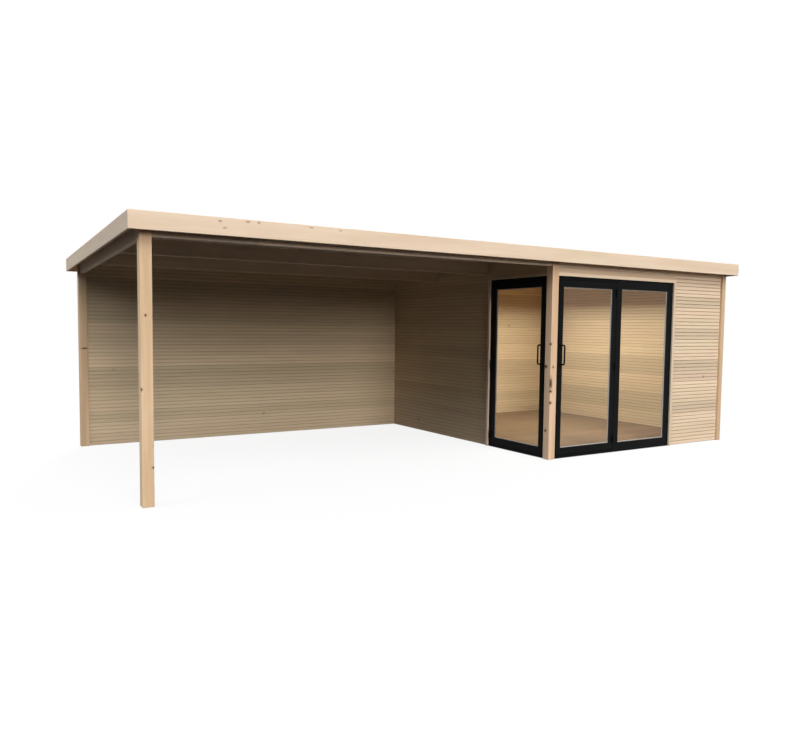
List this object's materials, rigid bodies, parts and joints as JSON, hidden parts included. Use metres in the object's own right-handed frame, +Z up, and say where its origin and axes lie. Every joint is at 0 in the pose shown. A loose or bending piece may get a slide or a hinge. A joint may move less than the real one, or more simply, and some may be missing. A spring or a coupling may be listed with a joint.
{
  "type": "garden shed with open lounge",
  "caption": "Long flat-roofed timber garden shed: an open covered lounge beside a closed room with a black-framed glazed corner and hinged glass doors.",
  "frame": {"origin": "middle of the roof's plan at ground level", "axes": "+X along the length towards the closed room, -Y to the front, +Z up"},
  "size_m": [7.37, 3.48, 2.24],
  "materials": {
    "spruce_posts": "planed, unpainted",
    "spruce_walls": "ribbed, unpainted",
    "spruce_roof": "planed, unpainted",
    "spruce_fascia": "planed, unpainted",
    "spruce_lining": "planed, unpainted",
    "floor_wood": "oiled boards",
    "bearer_wood": "sawn",
    "roof_covering": "matt sheet",
    "black_frame": "satin powder coat",
    "black_sash": "satin powder coat",
    "clear_glass": "clear",
    "black_hardware": "satin"
  },
  "bodies": {
    "shed": {"front_left_post": "spruce_posts", "back_left_post": "spruce_posts", "door_corner_post": "spruce_posts", "front_right_post": "spruce_posts", "back_right_post": "spruce_posts", "back_wall": "spruce_walls", "right_wall": "spruce_walls", "partition_wall": "spruce_walls", "side_header": "spruce_walls", "front_wall": "spruce_walls", "front_header": "spruce_walls", "front_beam": "spruce_roof", "left_beam": "spruce_roof", "lounge_joists": "spruce_roof", "room_joists": "spruce_roof", "roof_boards": "spruce_roof", "front_fascia": "spruce_fascia", "back_fascia": "spruce_fascia", "left_fascia": "spruce_fascia", "right_fascia": "spruce_fascia", "front_lining_head": "spruce_lining", "front_lining_jamb": "spruce_lining", "side_lining_head": "spruce_lining", "side_lining_jamb": "spruce_lining", "floor_boards": "floor_wood", "floor_bearers": "bearer_wood", "roof_covering": "roof_covering", "front_frame_rails": "black_frame", "front_frame_jambs": "black_frame", "side_frame_rails": "black_frame", "side_frame_jambs": "black_frame", "fixed_sash_stiles": "black_sash", "fixed_sash_rails": "black_sash", "fixed_sash_glass": "clear_glass", "front_hinge_pins": "black_hardware", "side_hinge_pins": "black_hardware"},
    "front_leaf": {"front_leaf_stiles": "black_sash", "front_leaf_rails": "black_sash", "front_leaf_glass": "clear_glass", "front_leaf_handle": "black_hardware", "front_leaf_knuckles": "black_hardware"},
    "side_leaf": {"side_leaf_stiles": "black_sash", "side_leaf_rails": "black_sash", "side_leaf_glass": "clear_glass", "side_leaf_handle": "black_hardware", "side_leaf_knuckles": "black_hardware"}
  },
  "joints": [
    {"name": "front_door_hinge", "type": "hinge", "parent": "shed", "child": "front_leaf", "pos_m": [1.609, -1.629, 1], "axis": [0, 0, 1], "range_deg": [0, 100]},
    {"name": "side_door_hinge", "type": "hinge", "parent": "shed", "child": "side_leaf", "pos_m": [0.613, -0.633, 1], "axis": [0, 0, -1], "range_deg": [0, 100]}
  ]
}
